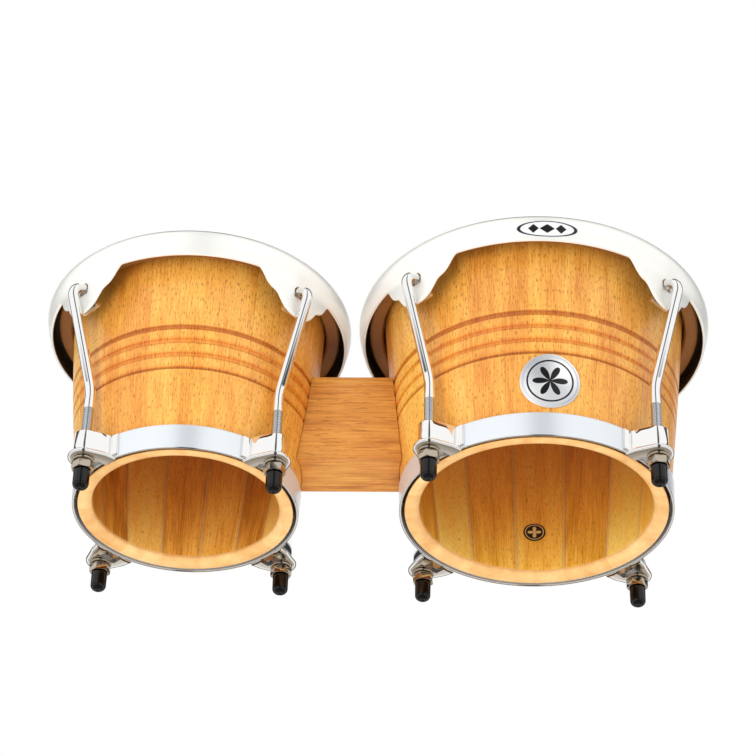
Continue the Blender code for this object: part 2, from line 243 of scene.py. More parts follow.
def arc(centre, radius, first, last, steps):  # points on an arc, angles in degrees
    angles = [math.radians(first + (last - first) * step / steps) for step in range(steps + 1)]
    return [(centre[0] + radius * math.cos(a), centre[1] + radius * math.sin(a)) for a in angles]


def flowing(points, steps):  # a smooth line through the points
    line = []
    ends = [points[0]] + list(points) + [points[-1]]
    for before, start, end, after in zip(ends, ends[1:], ends[2:], ends[3:]):
        for step in range(steps):
            t = step / steps
            line.append(tuple(
                0.5 * (2 * b + (c - a) * t + (2 * a - 5 * b + 4 * c - d) * t * t
                       + (3 * b - a - 3 * c + d) * t ** 3)
                for a, b, c, d in zip(before, start, end, after)))
    return line + [points[-1]]


def rounded(points, passes):  # corners cut, ends kept
    for _ in range(passes):
        line = [points[0]]
        for a, b in zip(points, points[1:]):
            line.append(tuple(0.75 * p + 0.25 * q for p, q in zip(a, b)))
            line.append(tuple(0.25 * p + 0.75 * q for p, q in zip(a, b)))
        points = line + [points[-1]]
    return points


def onDrum(drum, angle=0.0, along=0.0):  # the place of a drum's axis, or of a lug on it
    return (Matrix.Translation((drum["x"], 0, capTip)) @ Matrix.Rotation(math.radians(angle), 4, "Z")
            @ Matrix.Translation((along, 0, 0)))


def copyOf(master, name, place):
    piece = master.copy()
    piece.data = master.data.copy()
    piece.name = piece.data.name = name
    bpy.context.scene.collection.objects.link(piece)
    piece.data.transform(place)
    return piece


def finishPiece(piece, body, slotName, replaced, *materials):
    for material in materials:
        piece.data.materials.append(material)
    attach(piece, body)
    if replaced:
        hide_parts(*replaced)


def shellRadius(drum, height):  # outside of the wood: a parabola through foot, waist and top
    part = height / shellHeight
    slope = 4 * drum["waist"] - 3 * drum["foot"] - drum["top"]
    bulge = 2 * (drum["foot"] + drum["top"] - 2 * drum["waist"])
    return drum["foot"] + slope * part + bulge * part * part


# Wood.

woodLook = {
    "pale": "#FFCE68", "middle": "#F2AA48", "deep": "#D27E26", "pore": "#9C5C18",
    "fibreWidth": 0.9, "fibreLength": 24.0,  # mm; rubberwood fibre bundles, drawn coarse to show
    "poreWidth": 0.7, "poreLength": 3.8,     # mm; vessel lines, really a third as wide
    "figure": (0.09, 1, 0.012),              # per mm across, through and along a stave
    "ownPiece": 37.0,                        # mm between the pieces of pattern that staves are cut from
    "glue": "#C6B49A", "glueEdge": "#6A3E14", "coat": 0.25, "coatRoughness": 0.22,
}


def staveOf(tree, drum):  # a point's axes on its drum, staves counted round to it, its stave and tone
    parts = axesOf(tree, mapped(tree, objectPlace(tree), (1, 1, 1), (-drum["x"], 0, -capTip)))
    angle = maths(tree, "ARCTAN2", parts["Y"], parts["X"])
    staves = drum["staves"]
    turns = maths(tree, "MULTIPLY_ADD", angle, staves / math.tau,
                  2 * staves - drum["jointAt"] * staves / 360)
    around = maths(tree, "FLOORED_MODULO", turns, staves)
    stave = maths(tree, "FLOOR", around)
    tone = addNode(tree, "ShaderNodeTexWhiteNoise", {"noise_dimensions": "1D", "W": stave})
    return parts, around, stave, tone.outputs["Value"]


def stainAndShadeStops(drum):  # darkening in and beside the turned grooves, part stain and part painted shade of the groove shapes; painted shade on the wood behind the steel hoop
    clean, dark = "#FFFFFF", "#2C1A0C"
    stops = [(0.0, clean), (0.004, clean), (0.010, dark), (0.158, dark), (0.170, clean)]
    # Per groove: shades placed from its lower edge, then from its upper edge, in decimetres.
    lowest = (((-0.002, clean), (0.003, "#BFA266")),  # a single dark line
              ((-0.003, "#C2A468"), (0.003, "#F2D8AC"), (0.024, clean)))
    middle = (((-0.002, clean), (0.003, "#D2B886"), (0.010, "#F2DEB8")),
              ((-0.010, "#F0D8B0"), (-0.003, "#D8AE70"), (0.004, "#FAE2B4"), (0.022, clean)))
    highest = (((-0.002, clean), (0.003, "#C8A262"), (0.012, "#DCBC84")),  # dark all over
               ((-0.012, "#D6B07C"), (-0.004, "#BE9460"), (0.003, clean)))
    grooves = zip(reversed(drum["grooves"]), (lowest, middle, middle, highest))
    for (height, width), (fromLower, fromUpper) in grooves:
        stops += [((height - width / 2) * 10 + more, shade) for more, shade in fromLower]
        stops += [((height + width / 2) * 10 + more, shade) for more, shade in fromUpper]
    return stops


def staveWood(name, drum, pale, middle, deep, shift=0.34, inside=False, roughness=0.42):
    # Rubberwood staves, turned, filled and lacquered: satin, with vertical fibre and short
    # dark vessel lines, and a slightly different tone in each stave.
    look = woodLook
    material, tree, surface = newMaterial(name, {
        "Roughness": roughness, "IOR": 1.5, "Coat Weight": look["coat"],
        "Coat Roughness": look["coatRoughness"], "Coat IOR": 1.5})
    parts, around, stave, tone = staveOf(tree, drum)
    staveWidth = 1000 * math.tau * drum["waist"] / drum["staves"]  # mm
    own = maths(tree, "MULTIPLY", stave, look["ownPiece"])
    board = addNode(tree, "ShaderNodeCombineXYZ", {
        "X": maths(tree, "MULTIPLY", around, staveWidth), "Y": own,
        "Z": maths(tree, "MULTIPLY_ADD", parts["Z"], 1000.0, own)}).outputs[0]
    fibreAt = mapped(tree, board, (1 / look["fibreWidth"], 1, 1 / look["fibreLength"]))
    fibre = noise(tree, fibreAt, 1.0, 3.0, Roughness=0.6)
    poreAt = mapped(tree, board, (1 / look["poreWidth"], 1, 1 / look["poreLength"]))
    pore = noise(tree, poreAt, 1.0, 1.0, Roughness=0.4)
    figure = noise(tree, mapped(tree, board, look["figure"]), 1.0, 3.0, Distortion=0.6)
    # Tone: slow figure across a stave and fibre, then stave by stave.
    streaks = maths(tree, "MULTIPLY_ADD", figure, 0.75, fibre)
    shifted = maths(tree, "MULTIPLY_ADD", tone, shift, streaks)
    level = ranged(tree, shifted, 0.54 + shift / 2, 1.22 + shift / 2)
    shades = ramped(tree, level, (0.0, pale), (0.5, middle), (1.0, deep))
    poreMask = ranged(tree, pore, 0.56, 0.68, 0.0, 0.45 if inside else 0.70)
    wood = blended(tree, poreMask, shades, look["pore"])
    if inside:  # pale glue lines with dark edges between the staves
        glue, glueEdge = look["glue"], look["glueEdge"]
        away = maths(tree, "PINGPONG", maths(tree, "FRACT", around), 0.5)
        seam = ramped(tree, away, (0.0, glue), (0.020, glue), (0.030, glueEdge), (0.060, glueEdge))
        seamed = blended(tree, ranged(tree, away, 0.020, 0.048, 0.42, 0.0), wood, seam)
        # Painted shade: the bore is darkened further up, away from its open end.
        paintedBoreShade = ramped(tree, ranged(tree, parts["Z"], 0.01, 0.11),
                        (0.0, "#FFFFF4"), (0.45, "#EED4AC"), (1.0, "#D6AC74"))
        whole = blended(tree, 1.0, seamed, paintedBoreShade, "MULTIPLY")
    else:
        # Darkening by height: stain and painted shade at the grooves, painted shade behind the steel hoop.
        stainAndShade = ramped(tree, ranged(tree, parts["Z"], 0.0, 0.1), *stainAndShadeStops(drum))
        whole = blended(tree, 1.0, wood, stainAndShade, "MULTIPLY")
    setColour(tree, surface, whole)
    addRelief(tree, surface, poreMask, 0.08, 0.0001, True)
    return material


def endGrain(name, drum):
    # The sawn and sanded lower ends of the staves: pale, fine-dotted end grain under lacquer.
    material, tree, surface = newMaterial(name, {
        "Roughness": 0.5, "IOR": 1.5, "Coat Weight": 0.2, "Coat Roughness": 0.3})
    tone = staveOf(tree, drum)[-1]
    place = objectPlace(tree)
    bands = noise(tree, place, 90.0, 2.0)
    both = maths(tree, "MULTIPLY_ADD", noise(tree, place, 900.0, 2.0), 0.5, bands)
    level = ranged(tree, maths(tree, "MULTIPLY_ADD", tone, 0.3, both), 0.5, 1.3)
    setColour(tree, surface, ramped(tree, level, (0.0, "#F7CC8A"), (1.0, "#D89C54")))
    return material


screwSizes = {"heights": {"lower": 0.044, "upper": 0.081}, "bore": 0.0059, "clear": 0.0028,
              "sink": 0.0040, "shaft": 0.0025, "head": 0.0056, "tall": 0.0030, "intoBlock": 0.018,
              "recess": (0.0048, 0.0010, 0.0032)}


def screwSeat(drum, height):  # under a screw's head in the shell's wall, with Z into the block
    side = 1 if drum["x"] < 0 else -1
    floor = shellRadius(drum, height) - drum["wall"] + screwSizes["sink"]
    return (onDrum(drum) @ Matrix.Translation((side * floor, 0, height))
            @ Matrix.Rotation(side * math.pi / 2, 4, "Y"))


def makeShell(name, drum):
    # Values in metres: depths of the turned grooves, rounding of the foot and of the top.
    sizes = {"deepGroove": 0.0014, "groove": 0.0008, "footRound": 0.0010, "topEdge": 0.0036}
    outside = arc((drum["foot"] - sizes["footRound"] - 0.00005, sizes["footRound"]),
                  sizes["footRound"], -90, 0, 5)
    heights = [0.006, 0.012, 0.018, 0.025, 0.032, 0.039, 0.046, 0.052]
    for height, width in reversed(drum["grooves"]):
        heights += [height + width * (0.5 * math.sin(math.pi * step / 20)) for step in range(-10, 11)]
    heights += [0.098, 0.106, 0.115, 0.124, 0.133, 0.142, 0.150, 0.1545]
    for z in sorted(set(round(h, 6) for h in heights)):
        depth = 0.0
        for height, width in drum["grooves"]:
            share = (z - height) / (width / 2)
            if abs(share) < 1:
                most = sizes["deepGroove"] if height == drum["grooves"][0][0] else sizes["groove"]
                depth = most * (1 - share * share) ** 0.6
        outside.append((shellRadius(drum, z) - depth, z))
    edge = flowing([(drum["top"] - 0.0001, 0.1560), (drum["top"] - 0.0008, 0.1576),
                    (drum["top"] - 0.0022, 0.1583), (drum["top"] - sizes["topEdge"], shellHeight)], 3)
    inside = [(shellRadius(drum, z) - drum["wall"], z)
              for z in (0.1535, 0.140, 0.120, 0.100, 0.080, 0.060, 0.040, 0.020, 0.0075)]
    innerFoot = drum["foot"] - drum["wall"]
    lip = flowing([(shellRadius(drum, 0.0048) - drum["wall"] + 0.0001, 0.0048),
                   (innerFoot + 0.0011, 0.0028), (innerFoot + 0.0030, 0.0010),
                   (innerFoot + 0.0052, 0.0001), (innerFoot + 0.0062, 0.0)], 4)
    profile = outside + edge + inside + lip
    piece = turnedPiece(f"{name}_shell_turned", profile + [profile[0]], 300, smooth=30)
    for polygon in piece.data.polygons:  # 0 outside, 1 inside, 2 sawn lower ends
        radius = math.hypot(polygon.center.x, polygon.center.y)
        z = polygon.center.z
        if z < 0.0052 and radius < drum["foot"] - 0.0002:
            polygon.material_index = 2
        elif radius < shellRadius(drum, z) - drum["wall"] + 0.0020:
            polygon.material_index = 1
    piece.data.transform(onDrum(drum))
    # Pan-headed screws stand in counterbores on the block's side.
    bore, clear = screwSizes["bore"], screwSizes["clear"]
    bores = []
    for height in screwSizes["heights"].values():
        cutter = turnedPiece("screw_bore", [(0, -0.012), (bore, -0.012), (bore, 0), (clear, 0),
                                            (clear, 0.02), (0, 0.02)], 32)
        cutter.data.transform(screwSeat(drum, height))
        bores.append(cutter)
    cutWith(piece, joined(bores))
    outsideWood = staveWood(f"lacquered rubberwood {name}", drum, woodLook["pale"],
                            woodLook["middle"], woodLook["deep"])
    insideWood = staveWood(f"lacquered rubberwood inside {name}", drum, *drum["bore"],
                           shift=0.60, inside=True, roughness=0.38)
    finishPiece(piece, "shells_and_block", "lacquered_wood", [f"{name}_shell"], outsideWood,
                insideWood, endGrain(f"end grain {name}", drum))


for drumName, drumSize in drums.items():
    makeShell(drumName, drumSize)
print("shells turned")


def blockWood():
    # Solid hardwood block, planed and lacquered: redder than the staves, grain along X.
    material, tree, surface = newMaterial("lacquered block wood", {
        "Roughness": 0.45, "IOR": 1.5, "Coat Weight": 0.25, "Coat Roughness": 0.25})
    place = objectPlace(tree)
    scales = {"fibre": (30, 700, 700), "pore": (170, 1100, 1100), "figure": (14, 70, 70)}  # per metre
    fibre = noise(tree, mapped(tree, place, scales["fibre"]), 1.0, 3.0, Distortion=0.4)
    pore = noise(tree, mapped(tree, place, scales["pore"]), 1.0, 1.0, Roughness=0.4)
    figure = noise(tree, mapped(tree, place, scales["figure"]), 1.0, 3.0, Distortion=1.0)
    level = ranged(tree, maths(tree, "MULTIPLY_ADD", figure, 0.8, fibre), 0.66, 1.14)
    shades = ramped(tree, level, (0.0, "#E2A044"), (0.5, "#D48C38"), (1.0, "#B46C26"))
    poreMask = ranged(tree, pore, 0.62, 0.72, 0.0, 0.5)
    setColour(tree, surface, blended(tree, poreMask, shades, "#9A4F20"))
    addRelief(tree, surface, poreMask, 0.15, 0.0002, True)
    return material


def makeBlock():
    sizes = {"low": 0.0295, "high": 0.0950, "halfDepth": 0.0195, "edge": 0.0009, "gap": 0.0003}
    left, right = drums["macho"]["x"] + 0.05, drums["hembra"]["x"] - 0.06
    low, high = capTip + sizes["low"], capTip + sizes["high"]
    block = makeBox("joining_block", Matrix.Translation(((left + right) / 2, 0, (low + high) / 2)),
                    (right - left, 2 * sizes["halfDepth"], sizes["high"] - sizes["low"]))
    for drum in drums.values():  # the ends are hollowed to sit against the shells
        heights = [-0.01 + 0.01 * step for step in range(13)]
        profile = [(0.0, heights[0])] + [(shellRadius(drum, z) + sizes["gap"], z) for z in heights]
        hollow = turnedPiece("hollow", profile + [(0.0, heights[-1]), (0.0, heights[0])], 300)
        hollow.data.transform(onDrum(drum))
        cutWith(block, hollow)
    applyModifier(block, "BEVEL", {"width": sizes["edge"], "segments": 3, "limit_method": "ANGLE",
                                   "angle_limit": math.radians(40)})
    shade(block, 40)
    finishPiece(block, "shells_and_block", "block_wood", ["centre_block"], blockWood())


makeBlock()
print("block made")


# Metal, rubber and hide.

def plated(name, base="#F6F5F3", roughness=0.045, metallic=1.0):
    # Plated steel. Polished chrome is a clear mirror with the faintest haze.
    return newMaterial(name, {
        "Base Color": colour(base), "Metallic": metallic, "Roughness": roughness})[0]


def rubber():
    # Moulded black rubber caps: a smooth skin that still catches soft highlights.
    material, tree, surface = newMaterial("moulded rubber", {
        "Base Color": colour("#070707"), "Roughness": 0.17, "IOR": 1.42})
    addRelief(tree, surface, noise(tree, objectPlace(tree), 1400.0, 2.0), 0.04, 0.0001)
    return material


def rawhide():
    # Scraped and dried hide: creamy tan, cloudy, with a faint fibre relief.
    material, tree, surface = newMaterial("rawhide", {
        "Roughness": 0.55, "IOR": 1.45, "Subsurface Weight": 0.15, "Subsurface Scale": 0.002})
    place = objectPlace(tree)
    cloud = noise(tree, place, 28.0, 5.0, Distortion=0.8)
    both = maths(tree, "MULTIPLY_ADD", noise(tree, place, 420.0, 2.0), 0.35, cloud)
    shades = ramped(tree, ranged(tree, both, 0.45, 0.9),
                    (0.0, "#E6D0A4"), (0.55, "#DBC08E"), (1.0, "#CCAC78"))
    # Painted shade: the lap round the hoop, under the rim, is darkened.
    lapShade = ranged(tree, axesOf(tree, place)["Z"], capTip + 0.1520, capTip + 0.1565, 1.0, 0.0)
    setColour(tree, surface, blended(tree, lapShade, shades, "#A87C50", "MULTIPLY"))
    addRelief(tree, surface, both, 0.2, 0.0003)
    return material


def rolledThread():
    # The rods' lower ends: plated like the rest, but cut by the thread into a duller grey.
    material, tree, surface = newMaterial("rolled thread", {
        "Base Color": colour("#C3C8CE"), "Metallic": 1.0, "Roughness": 0.16})
    turns = maths(tree, "MULTIPLY", axesOf(tree, objectPlace(tree))["Z"], math.tau / threadPitch)
    addRelief(tree, surface, maths(tree, "SINE", turns), 0.6, 0.0002)
    return material


chromePlate = plated("chromed steel")
threadPlate = rolledThread()
# Painted shade: a dark plate for the inside of the rim, where the rim shades itself.
paintedRimShade = plated("painted shade inside the rim", "#4A4034", 0.5, 0.4)
rimPlate = plated("satin chromed rim", "#FBFAF4", 0.34, 0.4)  # a soft, even, creamy white
bandPlate = plated("satin chromed hoop", "#E4E9EE", 0.30, 0.5)  # the same plate, a little bluer
nickelPlate = plated("nickel plated steel", "#BDB1A0", 0.10)  # warmer and softer than chrome
blackRubber = rubber()
hide = rawhide()


def makeHead(name, drum):
    # The hide: playing face, collar over the bearing edge, lap under and round the flesh hoop.
    top = drum["top"]
    face, thick = 0.1594, 0.0010
    line = [(0.0, face), (top * 0.4, face), (top * 0.8, face), (top - 0.0040, face)]
    line += flowing([(top - 0.0020, face), (top - 0.0004, face - 0.0003), (top + 0.0007, 0.1580),
                     (top + 0.0011, 0.1562), (top + 0.0011, 0.1530), (top + 0.0011, 0.1480),
                     (top + 0.0012, 0.1446), (top + 0.0019, 0.1431), (top + 0.0034, 0.1428),
                     (top + 0.0078, 0.1428), (top + 0.0090, 0.1434), (top + 0.0095, 0.1448),
                     (top + 0.0095, 0.1492), (top + 0.0089, 0.1508), (top + 0.0074, 0.1514)], 4)
    piece = turnedPiece(f"{name}_hide_head", line, 240, smooth=60)
    applyModifier(piece, "SOLIDIFY", {"thickness": thick, "offset": 0.0, "use_even_offset": True})
    bm = bmesh.new()
    bm.from_mesh(piece.data)
    bmesh.ops.recalc_face_normals(bm, faces=bm.faces)
    bm.to_mesh(piece.data)
    bm.free()
    shade(piece, 60)
    piece.data.transform(onDrum(drum, drum["turn"]))
    piece.data.materials.append(hide)
    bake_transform(piece)
    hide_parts(f"{name}_head")


rimSizes = {"sheet": 0.0020, "fixed": 0.1364, "edge": 0.0009, "tip": 0.1065,
            "slotLow": 0.1216, "slotHigh": 0.1314, "slotHalf": 0.0042, "slotTop": 0.0020,
            "slotShoulder": 0.0032, "slotRound": 0.0011, "steepest": 2.2}
# Half outline of the rim's lower edge at a lug: distance along the rim, and height.
tongue = rounded(((0.0, 0.1062), (0.0050, 0.1068), (0.0110, 0.1098), (0.0156, 0.1166),
                  (0.0176, 0.1200), (0.0242, 0.1230), (0.0304, 0.1342), (0.0340, 0.1342)), 3)


def edgeHeight(along):
    along = abs(along)
    for (a, low), (b, high) in zip(tongue, tongue[1:]):
        if a <= along < b:
            return low + (high - low) * (along - a) / (b - a)
    return tongue[-1][1]


def flare(height):  # how far the rim's skirt has swelled outward at a height
    part = max(0.0, min(1.0, (height - 0.1310) / 0.0165))
    return 0.0032 * part * part * (3 - 2 * part)


def makeRim(name, drum):
    skirt, top, sheet = drum["rimRadius"], drum["top"], rimSizes["sheet"]
    fixed, edge, tip = rimSizes["fixed"], rimSizes["edge"], rimSizes["tip"]
    leg = top + 0.0034
    swellHeights = (fixed, 0.1376, 0.1390, 0.1404, 0.1420, 0.1436, 0.1452, 0.1468)
    swell = [(skirt + flare(z), z) for z in swellHeights]
    belly = flowing([(skirt + 0.0032, 0.1484), (skirt + 0.0023, 0.1515), (skirt - 0.0002, 0.1543),
                     (skirt - 0.0042, 0.1564)], 4)
    roll = flowing([(skirt - 0.0075, 0.1571), (leg + 0.0040, 0.1572), (leg + 0.0014, 0.1566),
                    (leg + 0.0001, 0.1546), (leg, 0.1526)], 3)
    inner = [(r - sheet, z - 0.0004) for r, z in (swell + belly)[::-1] if 0.1372 < z < 0.1535]
    rows = [edge + (fixed - tip - edge) * step / 9 for step in range(1, 9)]
    outerSkirt = [(skirt - sheet / 2 + sheet / 2 * math.cos(a), tip + edge * (1 + math.sin(a)))
                  for a in (math.radians(-90 + 15 * step) for step in range(6))]
    outerSkirt += [(skirt, tip + row) for row in [edge] + rows]
    innerSkirt = [(skirt - sheet, tip + row) for row in (rows[::-1] + [edge])]
    innerSkirt += [(skirt - sheet / 2 - sheet / 2 * math.cos(a), tip + edge * (1 - math.sin(a)))
                   for a in (math.radians(15 * step) for step in range(1, 6))]
    back = [(leg, 0.1514), (leg + 0.0003, 0.1511), (leg + sheet - 0.0003, 0.1511), (leg + sheet, 0.1514),
            (leg + sheet, 0.1534)]
    back += flowing([(leg + sheet + 0.0006, 0.1547), (leg + sheet + 0.0024, 0.1552),
                     (skirt - 0.0070, 0.1551), (skirt - 0.0044, 0.1543)], 3)
    profile = outerSkirt + swell + belly + roll + back + inner + [(skirt - sheet + flare(fixed), fixed)]
    piece = turnedPiece(f"{name}_pressed_rim", profile + innerSkirt + [profile[0]], 720, smooth=50)
    # The skirt's lower rows are drawn up or down to the scalloped edge.
    for vertex in piece.data.vertices:
        if vertex.co.z >= fixed - 0.000001:
            continue
        radius = math.hypot(vertex.co.x, vertex.co.y)
        angle = math.atan2(vertex.co.y, vertex.co.x)
        along = (math.degrees(angle) % 90 - 45) * math.pi / 180 * skirt
        base = edgeHeight(along)
        slope = (edgeHeight(along + 0.0004) - edgeHeight(along - 0.0004)) / 0.0008
        slope = max(-rimSizes["steepest"], min(rimSizes["steepest"], slope))
        length = math.hypot(slope, 1)
        above = vertex.co.z - tip
        if above <= edge:
            z = base + above / length
            sideways = -slope / length * above
        else:
            share = (above - edge) / (fixed - tip - edge)
            z = base + edge / length + (fixed - base - edge / length) * share
            sideways = -slope / length * edge * (1 - share)
        angle += sideways / skirt
        radius += flare(z)
        vertex.co = Vector((radius * math.cos(angle), radius * math.sin(angle), z))
    low, high = rimSizes["slotLow"], rimSizes["slotHigh"]
    wide, narrow, shoulder = rimSizes["slotHalf"], rimSizes["slotTop"], high - rimSizes["slotShoulder"]
    cutters = []
    for lugAngle in lugs.values():
        cutter = drawProfile("slot", [(-wide, low), (wide, low), (wide, shoulder), (narrow, high),
                                      (-narrow, high), (-wide, shoulder)])
        selectAll()
        bpy.ops.mesh.edge_face_add()
        selectAll()
        bpy.ops.mesh.extrude_region_move(TRANSFORM_OT_translate={"value": (0, 0.012, 0)})
        selectAll()
        bpy.ops.mesh.normals_make_consistent(inside=False)
        bpy.ops.object.mode_set(mode="OBJECT")
        bm = bmesh.new()
        bm.from_mesh(cutter.data)
        upright = [e for e in bm.edges if abs(e.verts[0].co.y - e.verts[1].co.y) > 0.001]
        bmesh.ops.bevel(bm, geom=upright, offset=rimSizes["slotRound"], segments=4, profile=0.5,
                        affect="EDGES")
        bm.to_mesh(cutter.data)
        bm.free()
        cutter.data.transform(Matrix.Rotation(math.radians(lugAngle + 90), 4, "Z")
                              @ Matrix.Translation((0, -skirt - 0.006, 0)))
        cutters.append(cutter)
    cutWith(piece, joined(cutters))
    shade(piece, 50)
    # Faces inside the rim, between the hide and the skirt, take the dark plate: painted shade.
    for polygon in piece.data.polygons:
        z, radius = polygon.center.z, math.hypot(polygon.center.x, polygon.center.y)
        hidden = leg + 0.0012 < radius < skirt + flare(z) - 0.0015 and z < 0.1553
        polygon.material_index = 1 if hidden else 0
    piece.data.transform(onDrum(drum, drum["turn"]))
    finishPiece(piece, f"{name}_tension_set", "chrome_steel", [f"{name}_rim"], rimPlate, paintedRimShade)


bandSizes = {"low": -0.0004, "high": 0.0172, "sheet": 0.0015, "soft": 0.0007, "footGap": 0.0019,
             "topGap": 0.0003}


def bandFace(drum, height):  # outside of the steel hoop round the shell's foot
    s = bandSizes
    low = drum["foot"] + s["footGap"] + s["sheet"]
    high = shellRadius(drum, s["high"]) + s["topGap"] + s["sheet"]
    return low + (high - low) * (height - s["low"]) / (s["high"] - s["low"])


def makeBand(name, drum):
    low, high, sheet, soft = (bandSizes[key] for key in ("low", "high", "sheet", "soft"))
    outer, inner = bandFace(drum, low), bandFace(drum, low) - sheet
    outerTop, innerTop = bandFace(drum, high), bandFace(drum, high) - sheet
    profile = arc((outer - soft, low + soft), soft, -90, 0, 4)
    profile += [(outer + (outerTop - outer) * step / 6, low + (high - low) * step / 6)
                for step in range(1, 6)]
    profile += arc((outerTop - soft, high - soft), soft, 0, 90, 4)
    profile += [(innerTop + 0.0001, high), (innerTop, high - 0.0002), (inner, low + soft)]
    profile += arc((inner + soft, low + soft), soft, 180, 270, 3)
    piece = turnedPiece(f"{name}_steel_hoop", profile + [profile[0]], 300)
    for polygon in piece.data.polygons:  # the rounded lower lip is polished bright
        polygon.material_index = 1 if polygon.center.z < low + soft + 0.0003 else 0
    piece.data.transform(onDrum(drum))
    finishPiece(piece, "shells_and_block", "chrome_steel", [f"{name}_bottom_hoop"], bandPlate, chromePlate)


bracketSizes = {"low": -0.0024, "high": 0.0176, "sheet": 0.0022, "nose": 0.0069, "reach": 0.0118,
                "floor": 0.0012, "floorBack": 0.0062, "hole": 0.0039, "mouth": 0.0125}


def wrapLine(axis, back, radius):  # round the rod's axis, with legs that spread to the hoop
    spread = bracketSizes["reach"] - bracketSizes["nose"] + radius
    run = math.hypot(axis - back, spread)
    tilt = math.degrees(math.atan2(spread, axis - back) - math.asin(radius / run))
    nose = arc((axis, 0.0), radius, -90 + tilt, 90 - tilt, 28)
    first, last = nose[0], nose[-1]
    legs = [tuple(f + (e - f) * step / 5 for f, e in zip((back, -spread), first)) for step in range(5)]
    other = [tuple(e + (f - e) * step / 5 for f, e in zip((back, spread), last)) for step in range(1, 6)]
    return legs + nose + other


def bracketMaster(drum):
    s = bracketSizes
    axis, back = drum["lugRadius"], bandFace(drum, s["high"]) + 0.0012
    # Section of the pressed sheet: distance outside the nose, and height.
    section = [(-s["sheet"], s["floor"]), (-s["sheet"], s["high"] - 0.0007)]
    section += arc((-s["sheet"] / 2, s["high"] - 0.0009), 0.0009, 165, 15, 6)
    section += [(0.0, s["high"] - 0.0010), (0.0, 0.0060), (0.0, 0.0034), (0.0002, 0.0026),
                (0.0008, 0.0020), (0.0014, 0.0018)]
    section += arc((0.0012, -0.0003), 0.0020, 78, -60, 9)
    section += [(0.0016, s["low"] + 0.0001), (0.0008, s["low"]), (-s["sheet"], s["low"])]
    bm = bmesh.new()
    rows = []
    for offset, height in section:
        line = wrapLine(axis, back, s["nose"] + offset)
        row = []
        for index, (x, y) in enumerate(line):
            if index in (0, len(line) - 1):  # the legs' ends meet the hoop
                x = math.sqrt(bandFace(drum, max(height, 0.0)) ** 2 - y * y) - 0.0004
            row.append(bm.verts.new((x, y, height)))
        rows.append(row)
    for lower, upper in zip(rows, rows[1:]):
        for at in range(len(lower) - 1):
            bm.faces.new((lower[at], lower[at + 1], upper[at + 1], upper[at]))
    bm.faces.new([row[0] for row in rows])
    bm.faces.new([row[-1] for row in rows])
    bm.faces.new(rows[0])
    bm.faces.new(rows[-1])
    bm.faces.new((rows[0][0], rows[0][-1], rows[-1][-1], rows[-1][0]))
    piece = pieceFrom(bm, "pressed_lug")
    inner, outer = back - 0.012, axis - s["floorBack"]
    cutWith(piece, makeBox("mouth", Matrix.Translation(((inner + outer) / 2, 0, 0.0)),
                           (outer - inner, s["mouth"], 0.008)))
    hole = turnedPiece("rod_hole", [(0, -0.01), (s["hole"], -0.01), (s["hole"], 0.01), (0, 0.01)], 48)
    hole.data.transform(Matrix.Translation((axis, 0, 0)))
    cutWith(piece, hole)
    tab = {"wide": 0.0064, "thick": 0.0018, "low": 0.0010, "high": 0.0166}
    tall, middle = tab["high"] - tab["low"], (tab["high"] + tab["low"]) / 2
    face = bandFace(drum, middle)
    lean = math.atan2(bandFace(drum, tab["high"]) - bandFace(drum, tab["low"]), tall)
    for side in (-1, 1):  # feet welded flat to the hoop
        foot = makeBox("foot", Matrix.Identity(4), (tab["thick"], tab["wide"], tall))
        applyModifier(foot, "BEVEL", {"width": 0.0008, "segments": 4})
        turn = side * (s["reach"] + 0.0026) / face
        foot.data.transform(Matrix.Rotation(turn, 4, "Z")
                            @ Matrix.Translation((face + tab["thick"] / 2 - 0.0003, 0, middle))
                            @ Matrix.Rotation(lean, 4, "Y"))
        cutWith(piece, foot, "UNION")
    shade(piece, 35)
    return piece


rodSizes = {"radius": 0.0035, "low": -0.0192, "threadTop": 0.0380, "threadRadius": 0.0033,
            "bend": 0.0520, "ease": 0.0060, "hook": 0.1165, "lean": 0.0222, "hookRadius": 0.0075,
            "tail": 0.1150, "pinRadius": 0.0024, "pinLength": 0.0150, "sides": 32,
            "chamfer": 0.0005, "runOut": 0.0006}


